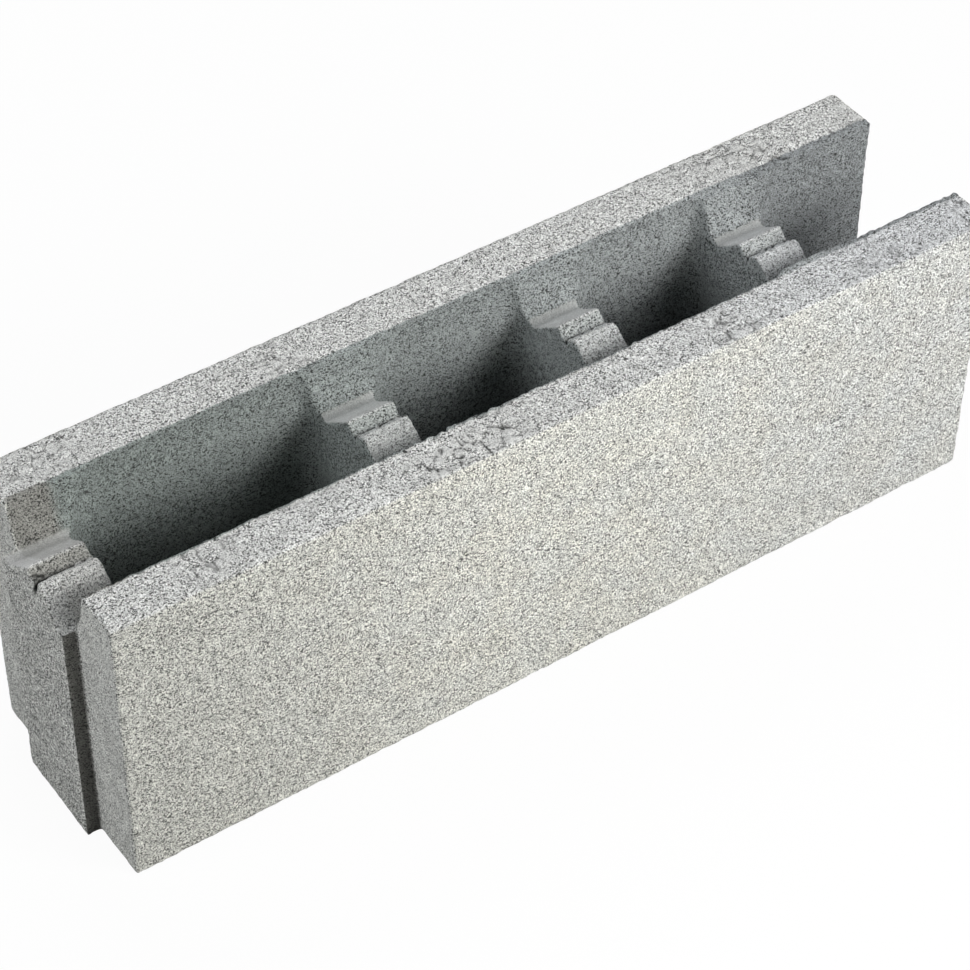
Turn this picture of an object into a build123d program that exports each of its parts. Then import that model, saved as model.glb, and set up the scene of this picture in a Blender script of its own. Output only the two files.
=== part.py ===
# Hollow concrete shuttering block, cast in one piece: two face shells joined by four low webs.
# The end web stands proud of the shells as a tongue, and the other end is an open half cell.
# Millimetres. X runs along the block, Y through the wall from the front face, Z up from the bed.
import os
from math import radians, tan

from build123d import *

# Overall sizes of the two shells.
LENGTH = 600.0
HEIGHT = 200.0
THICKNESS = 150.0
ARRIS_RADIUS = 1.5

# Shells at the level of their tops, along the closed cells and along the open half cell.
FRONT_SHELL = 31.0
BACK_SHELL = 32.0
END_FRONT_SHELL = 33.5
END_BACK_SHELL = 36.5

# Webs from the tongue to the open end, and the cells behind them. The first cell takes what is left.
WEB_THICKNESSES = (27.0, 31.5, 30.0, 31.5)
SECOND_CELL_LENGTH = 112.5
THIRD_CELL_LENGTH = 102.5
END_CELL_LENGTH = 99.0

# Corners of the cells. The back one on the tongue's side is softer, so that the web runs out into the shell.
CELL_CORNER_RADIUS = 11.0
SOFT_CORNER_RADIUS = 30.0

# Taper of every cell wall over the block's height, so that the cores draw upwards.
CELL_DRAFT = 2.0

# The end web's tongue: how far it stands out, and its distance from the front and back faces.
TONGUE_PROUD = 9.0
TONGUE_FRONT_SETBACK = 41.0
TONGUE_BACK_SETBACK = 42.5

# How far the webs' shoulders stand out from the shells where they rise to the top.
BACK_SHOULDER_PROUD = 2.5
END_FRONT_SHOULDER_PROUD = 2.0

# Section of the webs' tops. Runs are from the front shell's inner face, drops from the shells' tops.
FRONT_HAUNCH_RUN = 5.0
FRONT_HAUNCH_DROP = 19.5
FRONT_VALLEY_RUN = 11.5
FRONT_VALLEY_DROP = 31.5
FRONT_VALLEY_RADIUS = 2.0
RIDGE_FOOT_RUN = 16.0
RIDGE_FOOT_DROP = 19.5
RIDGE_FRONT_RUN = 26.5
RIDGE_FRONT_DROP = 11.5
RIDGE_BACK_RUN = 31.5
RIDGE_BACK_DROP = 10.7
RIDGE_RADIUS = 2.0
GROOVE_FRONT_RUN = 35.6
GROOVE_FRONT_DROP = 15.5
GROOVE_FLOOR_FRONT_RUN = 36.2
GROOVE_FLOOR_BACK_RUN = 38.4
GROOVE_FLOOR_DROP = 22.5
STEP_FOOT_RUN = 38.8
STEP_FOOT_DROP = 17.0
LIP_RUN = 45.3
LIP_DROP = 10.7
LIP_RADIUS = 1.0

# The ledge falls from the lip to a rounded valley, and a haunch rises from there to the back shell.
LEDGE_ANGLE = 37.8
BACK_VALLEY_SETBACK = 8.5
BACK_VALLEY_RADIUS = 8.0
BACK_HAUNCH_SETBACK = 4.5
BACK_HAUNCH_RISE = 14.5
BACK_HAUNCH_RADIUS = 6.0
LEDGE_ROUND_SHARE = 0.3

# Bevel that takes the front corner off the ridge at the tongue's end: three points of its plane.
BEVEL_TOP_RUN = 31.0
BEVEL_TOP_DROP = 12.0
BEVEL_FOOT_RUN = 17.5
BEVEL_FOOT_DROP = 33.5
BEVEL_INNER_X = 5.0
BEVEL_INNER_RUN = 18.5
BEVEL_INNER_DROP = 22.0
BEVEL_SIZE = 45.0

# How far a cutting body runs past the face that it opens.
OVERRUN = 15.0


def corner_box(low, high):
    """Box between two opposite corners."""
    size = [b - a for a, b in zip(low, high)]
    return Pos(*low) * Box(*size, align=(Align.MIN, Align.MIN, Align.MIN))


def rounded(section, corners):
    """Flat section with the corner nearest to each place rounded to the radius given with it."""
    for across, up, radius in corners:
        corner = section.vertices().sort_by_distance((across, up, 0))[0]
        section = fillet(corner, radius)
    return section


def web_point(run, drop):
    """Place across the block and up it of a point on the webs' tops."""
    return FRONT_SHELL + run, HEIGHT - drop


def cell_spans():
    """Start and end of each closed cell along the block, then the start of the open half cell."""
    first_cell = LENGTH - sum(WEB_THICKNESSES) - SECOND_CELL_LENGTH - THIRD_CELL_LENGTH - END_CELL_LENGTH
    spans = []
    start_x = 0
    for web, cell in zip(WEB_THICKNESSES, (first_cell, SECOND_CELL_LENGTH, THIRD_CELL_LENGTH)):
        start_x += web
        spans.append((start_x, start_x + cell))
        start_x += cell
    return spans, LENGTH - END_CELL_LENGTH


def shells():
    """Solid body of the two shells before the hollows are cut, with worn outer edges."""
    body = corner_box((0, 0, 0), (LENGTH, THICKNESS, HEIGHT))
    return fillet(body.edges(), ARRIS_RADIUS)


def tongue():
    """End web's tongue, running back into the body of the block."""
    return corner_box((-TONGUE_PROUD, TONGUE_FRONT_SETBACK, 0),
                      (WEB_THICKNESSES[0], THICKNESS - TONGUE_BACK_SETBACK, HEIGHT))


def core(start_x, end_x, front_y, back_y):
    """Drawn core of one cell, which narrows towards the bed and has one soft corner at the back."""
    draft_share = CELL_DRAFT / HEIGHT
    sections = []
    for level in (-OVERRUN, HEIGHT + OVERRUN):
        inset = draft_share * (HEIGHT - level)
        half_width = (end_x - start_x) / 2 - inset
        half_depth = (back_y - front_y) / 2 - inset
        corner = CELL_CORNER_RADIUS - inset
        outline = rounded(Rectangle(2 * half_width, 2 * half_depth), [
            (-half_width, -half_depth, corner),
            (half_width, -half_depth, corner),
            (half_width, half_depth, corner),
            (-half_width, half_depth, SOFT_CORNER_RADIUS - inset),
        ])
        sections.append(Pos((start_x + end_x) / 2, (front_y + back_y) / 2, level) * outline)
    return loft(sections)


def trough_section(front_y, back_y):
    """Outline of the space above the webs, with its moulded corners rounded."""
    top = HEIGHT + OVERRUN
    front_valley = web_point(FRONT_VALLEY_RUN, FRONT_VALLEY_DROP)
    ridge_front = web_point(RIDGE_FRONT_RUN, RIDGE_FRONT_DROP)
    ridge_back = web_point(RIDGE_BACK_RUN, RIDGE_BACK_DROP)
    lip = web_point(LIP_RUN, LIP_DROP)
    ledge_run = back_y - BACK_VALLEY_SETBACK - lip[0]
    back_valley = (lip[0] + ledge_run, lip[1] - ledge_run * tan(radians(LEDGE_ANGLE)))
    back_haunch = (back_y - BACK_HAUNCH_SETBACK, back_valley[1] + BACK_HAUNCH_RISE)
    valley_radius = min(BACK_VALLEY_RADIUS, LEDGE_ROUND_SHARE * ledge_run)
    outline = Polyline(
        (front_y, top),
        (front_y, HEIGHT),
        web_point(FRONT_HAUNCH_RUN, FRONT_HAUNCH_DROP),
        front_valley,
        web_point(RIDGE_FOOT_RUN, RIDGE_FOOT_DROP),
        ridge_front,
        ridge_back,
        web_point(GROOVE_FRONT_RUN, GROOVE_FRONT_DROP),
        web_point(GROOVE_FLOOR_FRONT_RUN, GROOVE_FLOOR_DROP),
        web_point(GROOVE_FLOOR_BACK_RUN, GROOVE_FLOOR_DROP),
        web_point(STEP_FOOT_RUN, STEP_FOOT_DROP),
        lip,
        back_valley,
        back_haunch,
        (back_y, HEIGHT),
        (back_y, top),
        close=True,
    )
    return rounded(make_face(outline), [
        (*front_valley, FRONT_VALLEY_RADIUS),
        (*ridge_front, RIDGE_RADIUS),
        (*ridge_back, RIDGE_RADIUS),
        (*lip, LIP_RADIUS),
        (*back_valley, valley_radius),
        (*back_haunch, BACK_HAUNCH_RADIUS),
    ])


def trough(start_x, end_x, front_y, back_y):
    """Space above the webs between two stations along the block."""
    section = Plane.YZ * trough_section(front_y, back_y)
    return Pos(start_x, 0, 0) * extrude(section, amount=end_x - start_x, dir=(1, 0, 0))


def ridge_bevel():
    """Material in front of the slanting face at the tongue's end of the ridge."""
    top = Vector(-TONGUE_PROUD, *web_point(BEVEL_TOP_RUN, BEVEL_TOP_DROP))
    foot = Vector(-TONGUE_PROUD, *web_point(BEVEL_FOOT_RUN, BEVEL_FOOT_DROP))
    inner = Vector(BEVEL_INNER_X, *web_point(BEVEL_INNER_RUN, BEVEL_INNER_DROP))
    normal = (foot - top).cross(inner - top)
    face = Plane(origin=(top + foot + inner) * (1 / 3), x_dir=foot - top, z_dir=normal)
    wedge = face * Box(BEVEL_SIZE, BEVEL_SIZE, BEVEL_SIZE, align=(Align.CENTER, Align.CENTER, Align.MIN))
    keep = corner_box((-TONGUE_PROUD - OVERRUN, TONGUE_FRONT_SETBACK - OVERRUN, HEIGHT - BEVEL_FOOT_DROP),
                      (WEB_THICKNESSES[0], THICKNESS, HEIGHT))
    shell = corner_box((0, 0, 0), (LENGTH, TONGUE_FRONT_SETBACK, HEIGHT))
    return (wedge & keep) - shell


def block():
    """The whole block, cut from the solid body, in its working frame."""
    closed_cells, end_start_x = cell_spans()
    split_x = sum(closed_cells[-1]) / 2
    past_end_x = LENGTH + OVERRUN
    solid = shells() + tongue()
    cell_back_y = THICKNESS - BACK_SHELL
    end_back_y = THICKNESS - END_BACK_SHELL
    solid -= trough(-TONGUE_PROUD - OVERRUN, split_x, FRONT_SHELL, cell_back_y - BACK_SHOULDER_PROUD)
    solid -= trough(split_x, past_end_x, END_FRONT_SHELL + END_FRONT_SHOULDER_PROUD,
                    end_back_y - BACK_SHOULDER_PROUD)
    for start_x, end_x in closed_cells:
        solid -= core(start_x, end_x, FRONT_SHELL, cell_back_y)
    solid -= core(end_start_x, past_end_x + CELL_CORNER_RADIUS, END_FRONT_SHELL, end_back_y)
    solid -= ridge_bevel()
    return solid


centre_x = (LENGTH - TONGUE_PROUD) / 2
part = Pos(-centre_x, -THICKNESS / 2, 0) * block()
os.makedirs("parts", exist_ok=True)
export_step(part, "parts/block.step")
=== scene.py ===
"""Concrete shuttering block: weathers the cast block's surface and sets it on a pale studio floor."""
import math

import bmesh
import bpy
import numpy as np
from bpy.props import FloatProperty, FloatVectorProperty, IntProperty, PointerProperty
from mathutils import Matrix, Vector


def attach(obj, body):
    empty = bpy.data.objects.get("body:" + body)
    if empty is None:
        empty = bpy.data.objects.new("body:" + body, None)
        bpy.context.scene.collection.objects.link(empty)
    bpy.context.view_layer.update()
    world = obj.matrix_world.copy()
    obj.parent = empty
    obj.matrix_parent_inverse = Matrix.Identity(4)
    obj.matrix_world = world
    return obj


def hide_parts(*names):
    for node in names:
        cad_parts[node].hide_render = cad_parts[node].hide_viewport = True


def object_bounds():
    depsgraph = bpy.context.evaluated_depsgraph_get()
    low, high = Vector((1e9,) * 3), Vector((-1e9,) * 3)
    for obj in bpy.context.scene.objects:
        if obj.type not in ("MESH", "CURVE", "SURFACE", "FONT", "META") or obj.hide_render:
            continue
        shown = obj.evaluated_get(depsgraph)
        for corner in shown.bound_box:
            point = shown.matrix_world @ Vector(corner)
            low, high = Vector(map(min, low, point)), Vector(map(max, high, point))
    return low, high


bl_info = {
    "name": "Concrete shuttering block",
    "version": (1, 0, 0),
    "blender": (4, 5, 0),
    "location": "View3D > Sidebar > Block",
    "description": "Weathers a cast concrete block and sets it on a pale studio floor",
    "category": "Object",
}

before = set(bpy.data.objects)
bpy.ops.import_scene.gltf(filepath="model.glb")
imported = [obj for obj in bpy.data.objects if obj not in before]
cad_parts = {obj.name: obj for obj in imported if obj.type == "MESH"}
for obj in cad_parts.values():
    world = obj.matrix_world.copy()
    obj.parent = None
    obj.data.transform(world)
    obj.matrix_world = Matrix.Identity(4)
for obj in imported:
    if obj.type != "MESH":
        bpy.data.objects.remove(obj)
CAD_LOW, CAD_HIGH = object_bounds()
MILLIMETRE = 0.001

# Sizes of the block in millimetres. Runs are from the front shell's inner face, drops from the tops.
TONGUE_PROUD = 9.0
FRONT_SHELL = 31.0
BACK_SHELL = 32.0
GROOVE_FRONT_RUN = 35.6
GROOVE_BACK_RUN = 38.8
LIP_RUN = 45.3
GROOVE_TOP_DROP = 15.5
GROOVE_FLOOR_DROP = 22.5
BEVEL_FOOT_DROP = 33.5
WEB_LOW_DROP = 45.0

# Places on the block in millimetres, in the row frame.
LOW = np.array(CAD_LOW) / MILLIMETRE
HIGH = np.array(CAD_HIGH) / MILLIMETRE
SHELL_START_X = LOW[0] + TONGUE_PROUD
INNER_FRONT_Y = LOW[1] + FRONT_SHELL
INNER_BACK_Y = HIGH[1] - BACK_SHELL
GROOVE_FRONT_Y = INNER_FRONT_Y + GROOVE_FRONT_RUN
GROOVE_BACK_Y = INNER_FRONT_Y + GROOVE_BACK_RUN
GROOVE_Y = (GROOVE_FRONT_Y + GROOVE_BACK_Y) / 2
LIP_Y = INNER_FRONT_Y + LIP_RUN
TOP_Z = HIGH[2]
GROOVE_TOP_Z = TOP_Z - GROOVE_TOP_DROP
GROOVE_FLOOR_Z = TOP_Z - GROOVE_FLOOR_DROP
WEB_LOW_Z = TOP_Z - WEB_LOW_DROP
BEVEL_FOOT_Z = TOP_Z - BEVEL_FOOT_DROP

# Spans in millimetres over which one zone of the surface fades into the next.
SHELL_SPAN_X = (SHELL_START_X + 0.5, SHELL_START_X + 2)
INNER_FRONT_SPAN_Y = (INNER_FRONT_Y - 1.5, INNER_FRONT_Y - 0.5)
INNER_BACK_SPAN_Y = (INNER_BACK_Y + 0.5, INNER_BACK_Y + 1.5)
LIP_SPAN_Y = (LIP_Y - 1.5, LIP_Y)
SCOOP_SPAN_Y = (LIP_Y + 0.5, LIP_Y + 2)
TOP_SPAN_Z = (TOP_Z - 4, TOP_Z - 2)
EDGE_SPAN_Z = (TOP_Z - 7, TOP_Z - 3)
WEB_TOP_SPAN_Z = (TOP_Z - 6, TOP_Z - 4)
WEB_LOW_SPAN_Z = (WEB_LOW_Z - 3, WEB_LOW_Z)

# The webs' groove, in millimetres: where its shade is painted dark, and where it is drawn in and filled to
# a ragged crack.
GROOVE_SHADE_SPAN = (1.2, 2.2)
GROOVE_SHADE_DEPTHS = (0.3, 2.5)
GROOVE_SHADE_FLOOR_Z = (GROOVE_FLOOR_Z - 3, GROOVE_FLOOR_Z - 2)
GROOVE_DRAWN_SPAN = (1.8, 3.4)
GROOVE_DRAWN_FLOOR_Z = (GROOVE_FLOOR_Z - 3, GROOVE_FLOOR_Z - 1)
GROOVE_DRAWN_TOP_Z = (GROOVE_TOP_Z + 2, GROOVE_TOP_Z + 4)
GROOVE_SHUT_FROM_END = (4, 12)
GROOVE_RAGGED_WIDTHS = (4.0, 1.7)
GROOVE_DEPTH = 2.5
GROOVE_DEPTH_SPREAD = 2.0
GROOVE_DEPTH_LIMITS = (0.5, 6.0)
GROOVE_OPEN_DEPTH = 3

# Pits around the groove at the tongue's end, in millimetres.
PIT_FROM_END = 6
PIT_REACH_X = 9
PIT_REACH_Y = 5
PIT_WIDTH = 2.4
PIT_DEPTH = 1.2

# Grains and crumbled lumps of the tops, in millimetres. A step is how far one stands above the next.
GRAIN_WIDTH = 2.4
GRAIN_DEPTH = 0.3
GRAIN_STEP = 0.25
LUMP_WIDTH = 8.0
LUMP_DEPTH = 0.9
LUMP_STEP = 0.5
CRACK_DEPTH = 1.0
CRACK_BREAK_WIDTH = 2.5
CRUMBLED_X = -62
CRUMBLED_REACH_X = (25, 45)
CRUMBLED_SPAN_Y = (-58, -48)
CRUMBLED_PATCH_WIDTH = 38.0

# Lumps that stand out along the inner edges of the tops, in millimetres.
EDGE_REACH = (1.5, 4.0)
EDGE_BROKEN_X = -55
EDGE_BROKEN_REACH = 85
EDGE_BROKEN_SPAN = (25, 60)
EDGE_LUMP_WIDTH = 4.5
EDGE_LUMP_HEIGHT = 1.2
EDGE_GRAIN_WIDTH = 2.3
EDGE_GRAIN_HEIGHT = 1.1

# Waves of the faces, wear of the edges and broken corners, in millimetres.
WAVE_WIDTH = 12.0
WAVE_DEPTH = 0.04
WEAR_WIDTHS = (3.0, 11.0)
CHIP_WIDTH = 2.5
BACK_CHIP_DEPTH = 3.4
FRONT_CHIP_DEPTH = 1.6
WELD_DISTANCE = 0.01

# Rounds that even out the mesh, and rounds that soften a copy of it to find the sharp edges.
EVEN_ROUNDS = 2
SOFT_ROUNDS = 16

# Spans in metres over which the concrete's colour changes. The spans of the walls, the end cell, the tongue
# and SHADE_Z place painted shade within the cells.
GREYER_X = (-0.32, -0.02)
COOL_X = (-0.02, 0.28)
COOL_Y = (-0.02, 0.04)
WALL_X = (-0.3, 0.2)
END_CELL_X = (0.19, 0.22)
TONGUE_X = (-0.272, -0.264)
SHADE_Z = (0.05, 0.16)

# Features to the metre in the concrete's texture, and the depth of its grain in metres.
STAIN_SCALE = 28.0
CLOUD_SCALE = 120.0
PEBBLE_SCALE = 120.0
SAND_SCALE = 1500.0
PORE_SCALE = 1150.0
PORE_EDGE_SCALE = 1400.0
GRAIN_BUMP = 0.0006

# Lamps of the studio: place in metres, width in metres and colour.
LAMPS = {
    "front": ((0.2, -1.9, 1.2), 0.8, (1.0, 1.0, 0.97)),
    "right": ((1.0, -1.7, 1.2), 0.8, (1.0, 1.0, 1.0)),
    "high": ((1.0, -1.5, 1.5), 0.8, (1.0, 1.0, 1.0)),
    "left": ((-1.9, 0.2, 1.0), 1.0, (0.97, 0.99, 1.0)),
    "back": ((0.3, 1.2, 1.8), 1.0, (0.99, 1.0, 1.02)),
}
FLOOR_REACH = 6.0


class ConcreteSettings(bpy.types.PropertyGroup):
    """Sizes and colours of the cast concrete, with the painted shade of its cells, recesses and pores."""

    spacing: FloatProperty(
        name="Mesh spacing", description="Width of one face of the fine mesh before thinning",
        default=0.001, subtype="DISTANCE", unit="LENGTH")
    triangles: IntProperty(
        name="Triangles", description="Faces that the thinned mesh keeps", default=190000)
    face_color: FloatVectorProperty(
        name="Face", description="Cement skin of the outer faces",
        default=(0.69, 0.69, 0.652), subtype="COLOR", size=3)
    stain_color: FloatVectorProperty(
        name="Stain", description="Faint warm patches in the skin",
        default=(0.70, 0.69, 0.635), subtype="COLOR", size=3)
    greyer_color: FloatVectorProperty(
        name="Towards tongue", description="Greyer skin towards the tongue",
        default=(0.55, 0.55, 0.512), subtype="COLOR", size=3)
    crust_color: FloatVectorProperty(
        name="Crust", description="Tops of the shells and webs, and the ends",
        default=(0.62, 0.622, 0.61), subtype="COLOR", size=3)
    cool_tint: FloatVectorProperty(
        name="Cool tint", description="Times the outer colours towards the open end",
        default=(0.93, 0.94, 0.975), subtype="COLOR", size=3)
    # Painted shade: the cell walls are drawn darker and cooler than the outer skin.
    inner_shade_color: FloatVectorProperty(
        name="Inside", description="Walls of the cells towards the open end",
        default=(0.35, 0.37, 0.372), subtype="COLOR", size=3)
    # Painted shade: the cell walls darker still towards the tongue.
    deep_shade_color: FloatVectorProperty(
        name="Deep", description="Walls of the cells towards the tongue",
        default=(0.262, 0.292, 0.278), subtype="COLOR", size=3)
    # Painted shade: the walls of the open half cell.
    end_cell_shade_color: FloatVectorProperty(
        name="End cell", description="Walls of the open half cell",
        default=(0.275, 0.29, 0.295), subtype="COLOR", size=3)
    # Brownish wall colour at the tongue, darkened as painted shade.
    tongue_brown_and_shade_color: FloatVectorProperty(
        name="Tongue end", description="Inner walls at the tongue",
        default=(0.27, 0.268, 0.248), subtype="COLOR", size=3)
    # Painted shade: near black for the open pores and the darkened recesses.
    pore_shade_color: FloatVectorProperty(
        name="Pits", description="Open pores between the grains",
        default=(0.025, 0.025, 0.023), subtype="COLOR", size=3)


class StudioSettings(bpy.types.PropertyGroup):
    """Camera, lamps and floor."""

    lens: FloatProperty(
        name="Lens", description="Focal length on a 36 mm sensor",
        default=114.398, subtype="DISTANCE_CAMERA")
    aim: FloatVectorProperty(
        name="Aim", description="Point on the view's axis",
        default=(-0.01504, -0.0088, 0.1), subtype="TRANSLATION", size=3)
    distance: FloatProperty(
        name="Distance", description="From the camera to the aim",
        default=1.8109, subtype="DISTANCE", unit="LENGTH")
    azimuth: FloatProperty(
        name="Azimuth", description="Turn of the view from +Y towards +X",
        default=math.radians(34.804), subtype="ANGLE", unit="ROTATION")
    elevation: FloatProperty(
        name="Elevation", description="How far the view looks down",
        default=math.radians(44.549), subtype="ANGLE", unit="ROTATION")
    roll: FloatProperty(
        name="Roll", description="Turn of the camera about its axis",
        default=math.radians(0.662), subtype="ANGLE", unit="ROTATION")
    front_power: FloatProperty(
        name="Front lamp", description="Lamp in front of the block",
        default=17.2, subtype="POWER", unit="POWER")
    right_power: FloatProperty(
        name="Right lamp", description="Lamp at the front right",
        default=13.8, subtype="POWER", unit="POWER")
    high_power: FloatProperty(
        name="High lamp", description="Higher lamp at the front right",
        default=17.6, subtype="POWER", unit="POWER")
    left_power: FloatProperty(
        name="Left lamp", description="Lamp beside the tongue",
        default=15.0, subtype="POWER", unit="POWER")
    back_power: FloatProperty(
        name="Back lamp", description="High lamp behind the block",
        default=16.6, subtype="POWER", unit="POWER")
    floor_color: FloatVectorProperty(
        name="Floor", description="Floor as it lights the block",
        default=(0.5, 0.5, 0.5), subtype="COLOR", size=3)
    paper_color: FloatVectorProperty(
        name="Paper", description="Floor as it is seen, with its faint shadow",
        default=(0.95, 0.95, 0.95), subtype="COLOR", size=3)
    floor_glow: FloatProperty(
        name="Floor glow", description="How far the floor is drawn as plain white",
        default=0.95, subtype="FACTOR")


class Wire:
    """A socket of a node tree. Sums and products of wires add Math nodes to the tree."""

    def __init__(self, tree, socket=None):
        self.tree = tree
        self.socket = socket

    def add(self, kind, settings=None, inputs=None, output=0):
        """New node with these settings and inputs, as the wire of one of its outputs."""
        node = self.tree.nodes.new(kind)
        for name, value in (settings or {}).items():
            setattr(node, name, value)
        for key, value in (inputs or {}).items():
            socket = node.inputs[key]
            if isinstance(value, Wire):
                self.tree.links.new(value.socket, socket)
            elif socket.type == "RGBA":
                socket.default_value = (*value, 1.0)
            else:
                socket.default_value = value
        return Wire(self.tree, node.outputs[output] if len(node.outputs) else None)

    def other(self, output):
        """Another output of the node that this wire comes from."""
        return Wire(self.tree, self.socket.node.outputs[output])

    def math(self, operation, first, second):
        """Math node on two values."""
        return self.add("ShaderNodeMath", {"operation": operation}, {0: first, 1: second})

    def __add__(self, other):
        return self.math("ADD", self, other)

    def __sub__(self, other):
        return self.math("SUBTRACT", self, other)

    def __rsub__(self, other):
        return self.math("SUBTRACT", other, self)

    def __mul__(self, other):
        return self.math("MULTIPLY", self, other)

    __radd__ = __add__
    __rmul__ = __mul__

    def between(self, low, high):
        """0 where this wire is under low, 1 over high, with a soft rise between."""
        return self.add("ShaderNodeMapRange", {"interpolation_type": "SMOOTHSTEP"},
                        {"Value": self, "From Min": low, "From Max": high})

    def mixed(self, first, second, blend="MIX"):
        """Two colours mixed by this wire."""
        return self.add("ShaderNodeMix", {"data_type": "RGBA", "blend_type": blend},
                        {0: self, 6: first, 7: second}, 2)


def lattice_random(cells, seed):
    """Random number from 0 to 1 for each cell of a cubic lattice."""
    code = (cells + 4096).astype(np.uint64) @ np.array([73856093, 19349663, 83492791], np.uint64)
    code = (code + np.uint64(seed * 7919)) * np.uint64(2654435761)
    code ^= code >> np.uint64(15)
    code *= np.uint64(2246822519)
    code ^= code >> np.uint64(13)
    return (code & np.uint64(0xFFFFFF)).astype(float) / 0xFFFFFF


def smooth_noise(points, width, seed):
    """Smooth random field from -1 to 1 whose features are about this wide."""
    grid = points / width
    base = np.floor(grid)
    share = grid - base
    share = share * share * (3 - 2 * share)
    total = np.zeros(len(points))
    for corner in np.ndindex(2, 2, 2):
        weight = np.prod(np.where(corner, share, 1 - share), axis=1)
        total += weight * lattice_random(base + corner, seed)
    return 2 * total - 1


def cell_noise(points, width, seed):
    """Distances to the two nearest of scattered centres, in widths, and the nearest one's random number."""
    grid = points / width
    base = np.floor(grid)
    first = np.full(len(points), np.inf)
    second = first.copy()
    chance = np.zeros(len(points))
    for neighbour in np.ndindex(3, 3, 3):
        cell = base + neighbour - 1
        jitter = np.stack([lattice_random(cell, seed + axis) for axis in (1, 2, 3)], axis=1)
        away = np.linalg.norm(grid - cell - jitter, axis=1)
        nearer = away < first
        second = np.where(nearer, first, np.minimum(second, away))
        first = np.where(nearer, away, first)
        chance = np.where(nearer, jitter.sum(axis=1) % 1.0, chance)
    return first, second, chance


def rise(span, value):
    """0 below the span, 1 above it, with a soft rise between."""
    low, high = span
    share = np.clip((value - low) / (high - low), 0, 1)
    return share * share * (3 - 2 * share)


def fall(span, value):
    """1 below the span, 0 above it, with a soft fall between."""
    return 1 - rise(span, value)


def apply_modifier(obj, kind, **settings):
    """Gives the object one modifier and applies it to the mesh."""
    modifier = obj.modifiers.new(kind.lower(), kind)
    for name, value in settings.items():
        setattr(modifier, name, value)
    depsgraph = bpy.context.evaluated_depsgraph_get()
    mesh = bpy.data.meshes.new_from_object(obj.evaluated_get(depsgraph))
    obj.modifiers.clear()
    obj.data = mesh


def read_items(items, field, width, kind=np.float32):
    """One field of a mesh's vertices or edges as an array."""
    data = np.zeros(len(items) * width, kind)
    items.foreach_get(field, data)
    return data.reshape(-1, width)


def relaxed(points, edges, rounds):
    """Points pulled towards the mean of their neighbours, again and again."""
    count = np.bincount(edges.ravel(), minlength=len(points))[:, None]
    for _ in range(rounds):
        total = np.zeros_like(points)
        for axis in range(3):
            total[:, axis] += np.bincount(edges[:, 0], points[edges[:, 1], axis], len(points))
            total[:, axis] += np.bincount(edges[:, 1], points[edges[:, 0], axis], len(points))
        points = (points + total / count) / 2
    return points


def solid_copy(name):
    """Closed copy of the block's solid, as a new object."""
    shape = bmesh.new()
    shape.from_mesh(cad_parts["block"].data)
    bmesh.ops.remove_doubles(shape, verts=shape.verts, dist=WELD_DISTANCE * MILLIMETRE)
    mesh = bpy.data.meshes.new(name)
    shape.to_mesh(mesh)
    shape.free()
    mesh.materials.clear()
    block = bpy.data.objects.new(name, mesh)
    bpy.context.scene.collection.objects.link(block)
    return block


def top_zone(points, normals):
    """1 on the flat tops of the two shells, 0 elsewhere."""
    return rise((0.45, 0.8), normals[:, 2]) * rise(TOP_SPAN_Z, points[:, 2])


def gap_shade_zone(points, normals):
    """1 on the tongue's two narrow sides, where they stand out beside the shells and their shade is painted
    dark.
    """
    between = (points[:, 1] > INNER_FRONT_Y) & (points[:, 1] < INNER_BACK_Y)
    between &= (points[:, 0] < SHELL_SPAN_X[0]) & (points[:, 2] < BEVEL_FOOT_Z)
    return between * rise((0.4, 0.8), np.abs(normals[:, 1]))


def inner_zone(points):
    """1 between the two shells, 0 on the outer faces and the tops."""
    return rise(INNER_FRONT_SPAN_Y, points[:, 1]) * fall(INNER_BACK_SPAN_Y, points[:, 1])


def step_zone(points, normals):
    """1 on the step between the groove and the lip of each web."""
    across = rise((GROOVE_Y, GROOVE_BACK_Y), points[:, 1])
    across *= fall(LIP_SPAN_Y, points[:, 1])
    return across * rise((0.2, 0.4), normals[:, 2]) * (points[:, 2] > GROOVE_FLOOR_Z)


def web_zone(points, normals):
    """1 on the ridges and ledges of the webs, less on the step between them, 0 elsewhere."""
    haunch = (points[:, 1] > LIP_Y) & (normals[:, 1] < 0)
    up = np.where(haunch, rise((0.86, 0.98), normals[:, 2]), rise((0.25, 0.5), normals[:, 2]))
    up *= rise(WEB_LOW_SPAN_Z, points[:, 2])
    up *= 1 - 0.75 * step_zone(points, normals)
    return up * inner_zone(points) * fall(WEB_TOP_SPAN_Z, points[:, 2])


def groove_shade_zone(points, normals):
    """1 deep in the groove between the ridge and the step of each web, where its shade is painted dark."""
    across = fall(GROOVE_SHADE_SPAN, np.abs(points[:, 1] - GROOVE_Y))
    deep = rise(GROOVE_SHADE_DEPTHS, GROOVE_TOP_Z - points[:, 2])
    deep *= rise(GROOVE_SHADE_FLOOR_Z, points[:, 2])
    side = rise((0.5, 0.8), np.abs(normals[:, 0])) * (points[:, 0] > SHELL_START_X)
    return across * deep * (1 - side)


def crumbled_zone(points, top):
    """How far the tops are broken into lumps: most along a stretch of the front shell, and in patches."""
    along = fall(CRUMBLED_REACH_X, np.abs(points[:, 0] - CRUMBLED_X))
    across = fall(CRUMBLED_SPAN_Y, points[:, 1])
    patches = rise((0.05, 0.6), smooth_noise(points, CRUMBLED_PATCH_WIDTH, 71))
    return top * np.maximum(along * across, 0.7 * patches)


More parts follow.
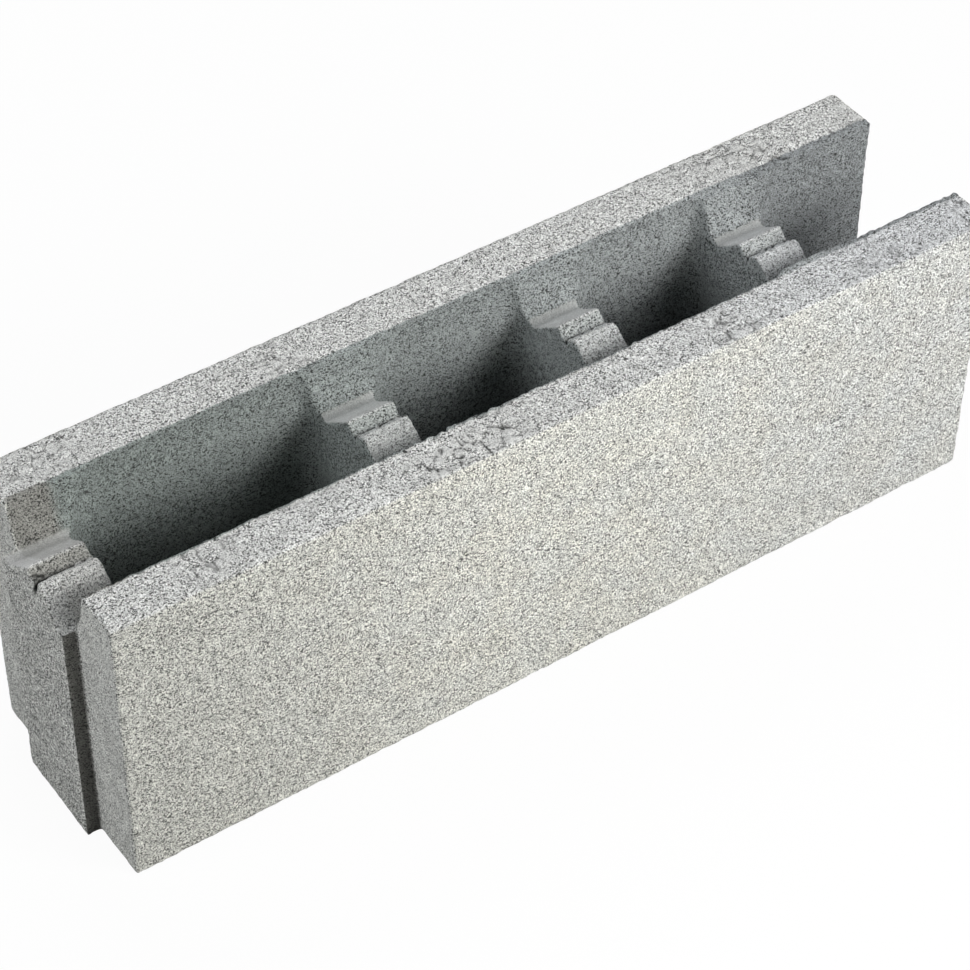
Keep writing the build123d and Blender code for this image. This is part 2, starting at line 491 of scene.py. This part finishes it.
def drawn_groove(points):
    """Points with the webs' groove filled to a ragged crack, but left open at the tongue's end."""
    along = points * (1, 0, 0)
    wide, narrow = GROOVE_RAGGED_WIDTHS
    ragged = smooth_noise(along, wide, 83) + 0.6 * smooth_noise(along, narrow, 85)
    shut = rise(GROOVE_SHUT_FROM_END, points[:, 0] - LOW[0])
    away = points[:, 1] - GROOVE_Y
    near = fall(GROOVE_DRAWN_SPAN, np.abs(away))
    near *= rise(GROOVE_DRAWN_FLOOR_Z, points[:, 2])
    near *= fall(GROOVE_DRAWN_TOP_Z, points[:, 2])
    points[:, 1] -= away * near * shut * np.clip(0.6 + 0.4 * ragged, 0, 0.9)
    filled_depth = np.clip(GROOVE_DEPTH + GROOVE_DEPTH_SPREAD * ragged, *GROOVE_DEPTH_LIMITS)
    floor = GROOVE_TOP_Z - filled_depth - GROOVE_OPEN_DEPTH * (1 - shut)
    filled = (near > 0.5) & (points[:, 2] < floor)
    points[filled, 2] = floor[filled]
    return points


def chipped(points, corner, outward, depth):
    """Points with one corner of the block broken off, this far in from its tip."""
    outward = np.array(outward) / np.linalg.norm(outward)
    past = (points - corner) @ outward + depth * (1 + 0.25 * smooth_noise(points, CHIP_WIDTH, 61))
    return points - np.maximum(past, 0)[:, None] * outward


def worn_points(points, normals, soft):
    """Points with the sharp edges rubbed away, unevenly, and the concave corners left as cast."""
    bulge = ((points - soft) * normals).sum(axis=1)
    narrow, wide = WEAR_WIDTHS
    wear = 0.6 + 0.8 * smooth_noise(points, narrow, 53) + 0.5 * smooth_noise(points, wide, 59)
    return points - normals * (np.maximum(bulge, 0) * np.clip(wear, 0, 2.0))[:, None]


def edge_lumps(points):
    """Depth of the lumps that stand out along the inner edges of the two tops, below 0."""
    near = np.minimum(np.abs(points[:, 1] - INNER_FRONT_Y), np.abs(points[:, 1] - INNER_BACK_Y))
    edge = fall(EDGE_REACH, near) * rise(EDGE_SPAN_Z, points[:, 2])
    stretch = rise(EDGE_BROKEN_SPAN, EDGE_BROKEN_REACH - np.abs(points[:, 0] - EDGE_BROKEN_X))
    broken = 0.5 + stretch * (points[:, 1] < 0)
    lump = rise((0.1, 0.7), smooth_noise(points, EDGE_LUMP_WIDTH, 91))
    grain = smooth_noise(points, EDGE_GRAIN_WIDTH, 97)
    return -edge * broken * (EDGE_LUMP_HEIGHT * lump + EDGE_GRAIN_HEIGHT * grain)


def surface_relief(points, normals):
    """Depth in millimetres of the crust's dents, how dark the painted shade is in the groove, the tongue's
    narrow sides, the pits and the cracks, and how clean each lump.
    """
    depth = WAVE_DEPTH * (1 + smooth_noise(points, WAVE_WIDTH, 37)) + edge_lumps(points)
    # Painted shade: the groove and the tongue's narrow sides are darkened where shade falls.
    dark = np.maximum(0.9 * groove_shade_zone(points, normals), 0.3 * gap_shade_zone(points, normals))
    top = top_zone(points, normals)
    crumbled = crumbled_zone(points, top)
    ridge = 0.7 * web_zone(points, normals) * (points[:, 1] < LIP_Y)
    rough = np.maximum.reduce((top, ridge, step_zone(points, normals)))
    zone = np.flatnonzero(rough > 0.02)
    place = points[zone]
    crumbled = crumbled[zone]

    first, _, chance = cell_noise(place, GRAIN_WIDTH, 11)
    depth[zone] += rough[zone] * (GRAIN_DEPTH * rise((0.2, 0.8), first) + GRAIN_STEP * chance)

    from_pit = (np.abs(place[:, 0] - LOW[0] - PIT_FROM_END) / PIT_REACH_X
                + np.abs(place[:, 1] - GROOVE_BACK_Y) / PIT_REACH_Y)
    pits = fall((0.7, 1.3), from_pit) * rise((0.05, 0.45), smooth_noise(place, PIT_WIDTH, 45))
    depth[zone] += PIT_DEPTH * pits
    # Painted shade: the pits are darkened as well as dented.
    dark[zone] = np.maximum(dark[zone], 0.9 * pits)

    first, second, chance = cell_noise(place, LUMP_WIDTH, 31)
    crack = fall((0.02, 0.11), second - first)
    crack *= rise((-0.45, 0.1), smooth_noise(place, CRACK_BREAK_WIDTH, 41))
    lump = LUMP_DEPTH * rise((0.1, 0.75), first) + CRACK_DEPTH * crack + LUMP_STEP * chance
    depth[zone] += crumbled * lump
    # Painted shade: the cracks between the lumps are darkened as well as cut.
    dark[zone] = np.maximum(dark[zone], crumbled * crack)
    clean = np.zeros(len(points))
    clean[zone] = crumbled * (chance > 0.15) * fall((0.4, 0.6), first)
    return depth, dark, clean


def surface_zones(points, normals, hollow, clean):
    """Shares of crust, inner walls darkened as painted shade, smooth skin and painted shade in the
    recesses, which the material reads.
    """
    web = web_zone(points, normals)
    within = rise(SHELL_SPAN_X, points[:, 0])
    # Painted shade: the walls between the shells, their steps included, take the darker inner colours.
    wall = inner_zone(points) * (1 - 0.65 * web) * np.maximum(within, step_zone(points, normals))
    end = rise((0.5, 0.8), -normals[:, 0]) * (1 - within)
    scoop = web * rise(SCOOP_SPAN_Y, points[:, 1])
    return {
        "crust": np.maximum.reduce((top_zone(points, normals), web, 0.5 * end)),
        "inside": np.maximum(wall, gap_shade_zone(points, normals)),
        "smooth": np.maximum.reduce((scoop, 0.25 * web, 0.8 * clean)) - 0.4 * end,
        "hollow": hollow,
    }


def thin_out(block, edges, zones, triangles):
    """Thins the mesh to a number of triangles, last of all where a zone begins or ends."""
    mesh = block.data
    border = np.zeros(len(mesh.vertices), bool)
    for values in zones.values():
        changes = np.abs(values[edges[:, 0]] - values[edges[:, 1]]) > 0.12
        border[edges[changes].ravel()] = True
    block.vertex_groups.new(name="plain").add(np.flatnonzero(~border).tolist(), 1.0, "REPLACE")
    share = min(1.0, triangles / (2 * len(mesh.polygons)))
    apply_modifier(block, "DECIMATE", decimate_type="COLLAPSE", ratio=share, vertex_group="plain")
    block.vertex_groups.clear()


def cast_block(settings):
    """Fine mesh of the block with worn edges and a grainy surface."""
    block = solid_copy("concrete_block")
    apply_modifier(block, "REMESH", mode="VOXEL", voxel_size=settings.spacing, use_smooth_shade=True)
    mesh = block.data
    edges = read_items(mesh.edges, "vertices", 2, np.int32)
    points = read_items(mesh.vertices, "co", 3).astype(float) / MILLIMETRE
    points = relaxed(points, edges, EVEN_ROUNDS)
    normals = read_items(mesh.vertices, "normal", 3).astype(float)
    soft = relaxed(points, edges, SOFT_ROUNDS)
    points = drawn_groove(worn_points(points, normals, soft))
    points = chipped(points, (SHELL_START_X, HIGH[1], LOW[2]), (-1, 1, -1), BACK_CHIP_DEPTH)
    points = chipped(points, (HIGH[0], LOW[1], LOW[2]), (1, -1, -1), FRONT_CHIP_DEPTH)
    depth, hollow, clean = surface_relief(points, normals)
    zones = surface_zones(points, normals, hollow, clean)
    points = np.clip(points - normals * depth[:, None], LOW, HIGH)
    mesh.vertices.foreach_set("co", (points * MILLIMETRE).astype(np.float32).ravel())
    for name, values in zones.items():
        mesh.attributes.new(name, "FLOAT", "POINT").data.foreach_set("value", values.astype(np.float32))
    mesh.update()
    thin_out(block, edges, zones, settings.triangles)

    mesh = block.data
    mesh.name = "concrete_block"
    points = np.clip(read_items(mesh.vertices, "co", 3), LOW * MILLIMETRE, HIGH * MILLIMETRE)
    mesh.vertices.foreach_set("co", points.astype(np.float32).ravel())
    mesh.shade_smooth()
    return block


def empty_graph(tree):
    """Wire into a node tree with its nodes taken out."""
    tree.nodes.clear()
    return Wire(tree)


def noise(graph, place, scale, detail=0.0, roughness=0.5):
    """Noise texture at a place, with this many features to the metre."""
    return graph.add("ShaderNodeTexNoise", None,
                     {"Vector": place, "Scale": scale, "Detail": detail, "Roughness": roughness})


def scattered(graph, place, scale):
    """Distance from the nearest of scattered centres, and that centre's random number."""
    away = graph.add("ShaderNodeTexVoronoi", None, {"Vector": place, "Scale": scale})
    return away, graph.add("ShaderNodeSeparateXYZ", None, {"Vector": away.other("Color")}, "X")


def skin_color(graph, place, settings, crust, inside):
    """Colour of the cement skin over the faces, tops and inner walls, before its grain, with the inner
    walls in darker colours as painted shade, and a painted shade that darkens them towards the bottom of
    the cells.
    """
    along = graph.add("ShaderNodeSeparateXYZ", None, {"Vector": place}, "X")
    across = along.other("Y")
    stain = noise(graph, place, STAIN_SCALE, 3.0, 0.6).between(0.35, 0.65)
    stained_skin = stain.mixed(settings.face_color, settings.stain_color)
    face = along.between(*GREYER_X).mixed(settings.greyer_color, stained_skin)
    outer = crust.mixed(face, settings.crust_color)
    cool = along.between(*COOL_X) * (1 - across.between(*COOL_Y))
    outer = cool.mixed(outer, settings.cool_tint, "MULTIPLY")
    # Painted shade: the inner walls take darker colours along the block.
    walls = along.between(*WALL_X).mixed(settings.deep_shade_color, settings.inner_shade_color)
    walls = along.between(*END_CELL_X).mixed(walls, settings.end_cell_shade_color)
    walls = along.between(*TONGUE_X).mixed(settings.tongue_brown_and_shade_color, walls)
    # Painted shade: the cell walls grow darker towards the bottom.
    shade = 1 - 0.35 * inside * (1 - along.other("Z").between(*SHADE_Z))
    return inside.mixed(outer, walls), shade


def concrete_material(settings):
    """Cement skin with fine sand and pale pebbles, its open pores and recesses painted near black as shade,
    and painted shade in the cells.
    """
    material = bpy.data.materials.new("concrete")
    material.use_nodes = True
    graph = empty_graph(material.node_tree)
    place = graph.add("ShaderNodeTexCoord", output="Object")
    crust, inside, hollow, smooth = (
        graph.add("ShaderNodeAttribute", {"attribute_name": name}, output="Fac")
        for name in ("crust", "inside", "hollow", "smooth"))
    skin, shade = skin_color(graph, place, settings, crust, inside)

    sand = noise(graph, place, SAND_SCALE)
    cloud = noise(graph, place, CLOUD_SCALE, 3.0, 0.65)
    away, chance = scattered(graph, place, PEBBLE_SCALE)
    pebble = (0.3 * chance.between(0.75, 1.0) - away).between(-0.06, 0.06)
    tone = sand.between(0.25, 0.75) - 0.5 + (cloud - 0.5) + 0.2 * pebble
    # The painted shade of the cells scales the skin and its grain.
    skin = graph.add("ShaderNodeVectorMath", {"operation": "SCALE"},
                     {0: skin, "Scale": shade * (1.075 + (1 - 0.6 * smooth) * tone)})

    away, chance = scattered(graph, place, PORE_SCALE)
    ragged = noise(graph, place, PORE_EDGE_SCALE)
    reach = 0.72 * chance.between(0.3, 1.0) - 0.05
    reach = reach + 0.4 * (ragged - 0.5) + 0.5 * (cloud - 0.5) - 0.2 * pebble
    pore = (1 - 0.8 * smooth) * (reach - away).between(-0.04, 0.06)
    # Painted shade: the recesses and open pores are drawn near black.
    color = graph.math("MAXIMUM", hollow, 0.95 * pore).mixed(skin, settings.pore_shade_color)
    bump = graph.add("ShaderNodeBump", None,
                     {"Strength": 0.6, "Distance": GRAIN_BUMP, "Height": 0.5 * sand - 0.8 * pore})
    shader = graph.add("ShaderNodeBsdfPrincipled", None, {
        "Base Color": color, "Roughness": 0.95, "Normal": bump, "Specular IOR Level": 0.2})
    graph.add("ShaderNodeOutputMaterial", None, {"Surface": shader})
    return material


class BLOCK_OT_cast(bpy.types.Operator):
    """Makes the cast concrete block in place of the plain solid"""

    bl_idname = "block.cast"
    bl_label = "Cast concrete block"

    def execute(self, context):
        settings = context.scene.block_concrete
        block = cast_block(settings)
        block.data.materials.append(concrete_material(settings))
        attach(block, "root")
        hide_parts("block")
        return {"FINISHED"}


def look_along(forward, roll):
    """Turn of a camera or lamp that faces forward, with +Z upwards in its picture."""
    forward = forward.normalized()
    right = forward.cross(Vector((0, 0, 1))).normalized()
    up = right.cross(forward)
    turn = Matrix((right * math.cos(roll) + up * math.sin(roll),
                   up * math.cos(roll) - right * math.sin(roll),
                   -forward))
    return turn.transposed().to_4x4()


def add_object(name, data):
    """New object in the scene that shows this data."""
    obj = bpy.data.objects.new(name, data)
    bpy.context.scene.collection.objects.link(obj)
    return obj


def add_camera(settings):
    """Camera that looks down at the block, turned and rolled as set."""
    data = bpy.data.cameras.new("camera")
    data.lens = settings.lens
    camera = add_object("camera", data)
    level = math.cos(settings.elevation)
    forward = Vector((math.sin(settings.azimuth) * level, math.cos(settings.azimuth) * level,
                      -math.sin(settings.elevation)))
    place = Vector(settings.aim) - forward * settings.distance
    camera.matrix_world = Matrix.Translation(place) @ look_along(forward, settings.roll)
    bpy.context.scene.camera = camera


def add_lamp(name, place, width, power, color):
    """Square soft lamp that faces the middle of the block."""
    data = bpy.data.lights.new(name, "AREA")
    data.shape = "SQUARE"
    data.size = width
    data.energy = power
    data.color = color
    place = Vector(place)
    middle = (CAD_LOW + CAD_HIGH) / 2
    add_object(name, data).matrix_world = Matrix.Translation(place) @ look_along(middle - place, 0.0)


def white_rays(graph):
    """1 for rays that show the background itself, 0 for rays that light the block."""
    seen = [graph.add("ShaderNodeLightPath", output=name)
            for name in ("Is Camera Ray", "Is Glossy Ray", "Is Transmission Ray")]
    return graph.math("MINIMUM", seen[0] + seen[1] + seen[2], 1.0)


def add_floor(settings):
    """Pale floor that is drawn almost white, and keeps a faint shadow."""
    mesh = bpy.data.meshes.new("floor")
    corners = [(x * FLOOR_REACH, y * FLOOR_REACH, 0) for x, y in ((-1, -1), (1, -1), (1, 1), (-1, 1))]
    mesh.from_pydata(corners, [], [(0, 1, 2, 3)])
    floor = add_object("floor", mesh)
    material = bpy.data.materials.new("floor")
    material.use_nodes = True
    graph = empty_graph(material.node_tree)
    matt = graph.add("ShaderNodeBsdfDiffuse", None, {"Color": settings.floor_color})
    paper = graph.add("ShaderNodeBsdfDiffuse", None, {"Color": settings.paper_color})
    white = graph.add("ShaderNodeEmission", None, {"Strength": 1.0})
    seen = graph.add("ShaderNodeMixShader", None, {0: settings.floor_glow, 1: paper, 2: white})
    drawn = graph.add("ShaderNodeMixShader", None, {0: white_rays(graph), 1: matt, 2: seen})
    graph.add("ShaderNodeOutputMaterial", None, {"Surface": drawn})
    mesh.materials.append(material)


def add_world():
    """White background that gives no light of its own."""
    world = bpy.data.worlds.new("studio")
    world.use_nodes = True
    graph = empty_graph(world.node_tree)
    dark = graph.add("ShaderNodeBackground", None, {"Strength": 0.0})
    white = graph.add("ShaderNodeBackground", None, {"Strength": 1.0})
    drawn = graph.add("ShaderNodeMixShader", None, {0: white_rays(graph), 1: dark, 2: white})
    graph.add("ShaderNodeOutputWorld", None, {"Surface": drawn})
    bpy.context.scene.world = world


class BLOCK_OT_stage(bpy.types.Operator):
    """Makes the floor, the lamps and the camera"""

    bl_idname = "block.stage"
    bl_label = "Studio stage"

    def execute(self, context):
        settings = context.scene.block_studio
        context.scene.view_settings.view_transform = "Standard"
        add_camera(settings)
        add_floor(settings)
        add_world()
        for name, (place, width, color) in LAMPS.items():
            add_lamp(name + "_lamp", place, width, getattr(settings, name + "_power"), color)
        return {"FINISHED"}


class BLOCK_PT_sidebar(bpy.types.Panel):
    """Settings of the block and of its stage"""

    bl_idname = "BLOCK_PT_sidebar"
    bl_label = "Concrete block"
    bl_space_type = "VIEW_3D"
    bl_region_type = "UI"
    bl_category = "Block"

    def draw(self, context):
        for settings, operator in ((context.scene.block_concrete, BLOCK_OT_cast),
                                   (context.scene.block_studio, BLOCK_OT_stage)):
            box = self.layout.box()
            for name in type(settings).__annotations__:
                box.prop(settings, name)
            box.operator(operator.bl_idname)


CLASSES = (ConcreteSettings, StudioSettings, BLOCK_OT_cast, BLOCK_OT_stage, BLOCK_PT_sidebar)


def register():
    for cls in CLASSES:
        bpy.utils.register_class(cls)
    bpy.types.Scene.block_concrete = PointerProperty(type=ConcreteSettings)
    bpy.types.Scene.block_studio = PointerProperty(type=StudioSettings)


def unregister():
    del bpy.types.Scene.block_studio
    del bpy.types.Scene.block_concrete
    for cls in reversed(CLASSES):
        bpy.utils.unregister_class(cls)


def main():
    register()
    bpy.ops.block.cast()
    bpy.ops.block.stage()


if __name__ == "__main__":
    main()
